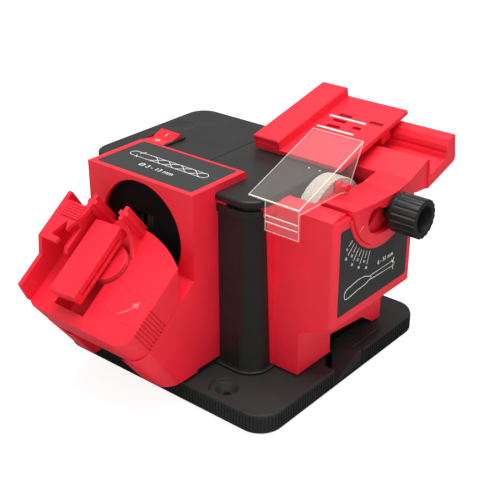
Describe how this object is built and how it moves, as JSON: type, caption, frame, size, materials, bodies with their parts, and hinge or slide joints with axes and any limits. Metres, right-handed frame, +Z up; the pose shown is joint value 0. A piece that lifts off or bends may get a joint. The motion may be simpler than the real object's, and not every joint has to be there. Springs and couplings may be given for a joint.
{
  "type": "tabletop sharpener",
  "caption": "Tabletop electric sharpener: motor body between a drill grinding head with swinging clamp and a chisel wheel with tilting table, sliding carriage, clear guard and lock knob.",
  "frame": {"origin": "centre of the base's underside, which is also the centre of its four fastening holes", "axes": "+X is the right-hand side with the chisel wheel, +Y the back, +Z up; the drill head faces the front, -Y"},
  "size_m": [0.203, 0.2221, 0.1549],
  "materials": {
    "red_plastic": "satin moulded red plastic",
    "black_plastic": "moulded black plastic with a fine grain",
    "label_grey": "dark grey satin plate",
    "clear_plastic": "clear polished plastic sheet",
    "switch_red": "glossy red switch plastic",
    "rubber": "soft matt rubber",
    "belt_rubber": "matt belt rubber",
    "abrasive": "pale bonded grit, coarse and matt",
    "abrasive_dark": "dark bonded grit, coarse and matt",
    "screw_steel": "zinc-plated steel",
    "shaft_steel": "ground steel",
    "flange_steel": "turned steel",
    "bearing_steel": "polished bearing steel",
    "spring_steel": "drawn spring wire",
    "strip_steel": "bright spring strip",
    "can_steel": "plated drawn steel",
    "magnet": "dull ferrite",
    "core_iron": "varnished laminations and windings",
    "copper": "turned copper",
    "carbon": "pressed carbon",
    "fan_plastic": "pale moulded plastic",
    "pulley_aluminium": "turned aluminium"
  },
  "bodies": {
    "machine_base": {"base_plate": "black_plastic", "rubber_feet": "rubber", "body_shell_left": "black_plastic", "body_shell_right": "black_plastic", "body_screws": "screw_steel", "case_screws": "screw_steel", "housing_screws": "screw_steel", "motor_can": "can_steel", "motor_magnets": "magnet", "motor_end_cap": "black_plastic", "motor_cradle": "black_plastic", "spindle_bracket": "black_plastic", "bearings": "bearing_steel", "carbon_brushes": "carbon", "drive_belt": "belt_rubber", "drill_housing": "red_plastic", "drill_inner_cover": "black_plastic", "drill_label": "label_grey", "guide_pivot_pin": "shaft_steel", "chisel_housing": "red_plastic", "chisel_label": "label_grey", "guard_pin": "red_plastic", "release_spring": "spring_steel", "switch_bezel": "black_plastic", "cord_inlet": "black_plastic"},
    "motor_rotor": {"motor_shaft": "shaft_steel", "armature": "core_iron", "commutator": "copper", "cooling_fan": "fan_plastic", "motor_pulley": "pulley_aluminium", "chisel_wheel": "abrasive", "chisel_wheel_flanges": "flange_steel", "chisel_wheel_nut": "screw_steel"},
    "drill_rotor": {"drill_spindle": "shaft_steel", "drill_pulley": "pulley_aluminium", "drill_wheel": "abrasive_dark", "drill_wheel_flanges": "flange_steel", "drill_wheel_nut": "screw_steel"},
    "drill_guide": {"guide_block": "red_plastic", "guide_fence": "red_plastic"},
    "clamp_thumbwheel": {"clamp_wheel": "red_plastic"},
    "drill_clamp": {"clamp_bar": "red_plastic", "clamp_stud": "shaft_steel"},
    "tilting_table": {"tilt_table": "red_plastic"},
    "carriage": {"carriage_plate": "red_plastic", "carriage_bar": "red_plastic", "spring_strips": "strip_steel"},
    "tilt_knob": {"lock_knob": "black_plastic", "knob_stud": "shaft_steel"},
    "wheel_guard": {"guard": "clear_plastic"},
    "table_release": {"release_lever": "black_plastic"},
    "power_rocker": {"switch_rocker": "switch_red"}
  },
  "joints": [
    {"name": "motor_spin", "type": "hinge", "parent": "machine_base", "child": "motor_rotor", "pos_m": [0.03, 0, 0.104], "axis": [1, 0, 0], "continuous": true},
    {"name": "drill_spin", "type": "hinge", "parent": "machine_base", "child": "drill_rotor", "pos_m": [-0.0165, -0.038, 0.099], "axis": [1, 0, 0], "continuous": true},
    {"name": "rocker_tilt", "type": "hinge", "parent": "machine_base", "child": "power_rocker", "pos_m": [-0.0565, -0.0125, 0.124], "axis": [-1, 0, 0], "range_deg": [0, 10]},
    {"name": "guide_swing", "type": "hinge", "parent": "machine_base", "child": "drill_guide", "pos_m": [-0.017, -0.10874, 0.05142], "axis": [0, -0.6018, 0.7986], "range_deg": [-12, 12]},
    {"name": "clamp_turn", "type": "hinge", "parent": "drill_guide", "child": "clamp_thumbwheel", "pos_m": [-0.02, -0.08558, 0.06887], "axis": [0, -0.6018, 0.7986], "range_deg": [-360, 900]},
    {"name": "clamp_slide", "type": "slide", "parent": "drill_guide", "child": "drill_clamp", "axis": [0, -0.6018, 0.7986], "range_m": [-0.002, 0.005]},
    {"name": "table_tilt", "type": "hinge", "parent": "machine_base", "child": "tilting_table", "pos_m": [0.05, 0.01155, 0.1274], "axis": [1, 0, 0], "range_deg": [0, 35]},
    {"name": "carriage_slide", "type": "slide", "parent": "tilting_table", "child": "carriage", "axis": [1, 0, 0], "range_m": [0, 0.022]},
    {"name": "knob_turn", "type": "hinge", "parent": "machine_base", "child": "tilt_knob", "pos_m": [0.1, 0.02062, 0.11105], "axis": [1, 0, 0], "range_deg": [-90, 270]},
    {"name": "guard_lift", "type": "hinge", "parent": "machine_base", "child": "wheel_guard", "pos_m": [0.0785, -0.001, 0.127], "axis": [-1, 0, 0], "range_deg": [0, 16]},
    {"name": "lever_press", "type": "slide", "parent": "machine_base", "child": "table_release", "axis": [-1, 0, 0], "range_m": [0, 0.004], "stiffness_N_per_m": 400, "springref_m": -0.002}
  ],
  "couplings": [
    {"joint": "drill_spin", "follows": "motor_spin", "ratio": 1},
    {"joint": "clamp_slide", "follows": "clamp_turn", "m_per_rad": 0.00031831}
  ]
}
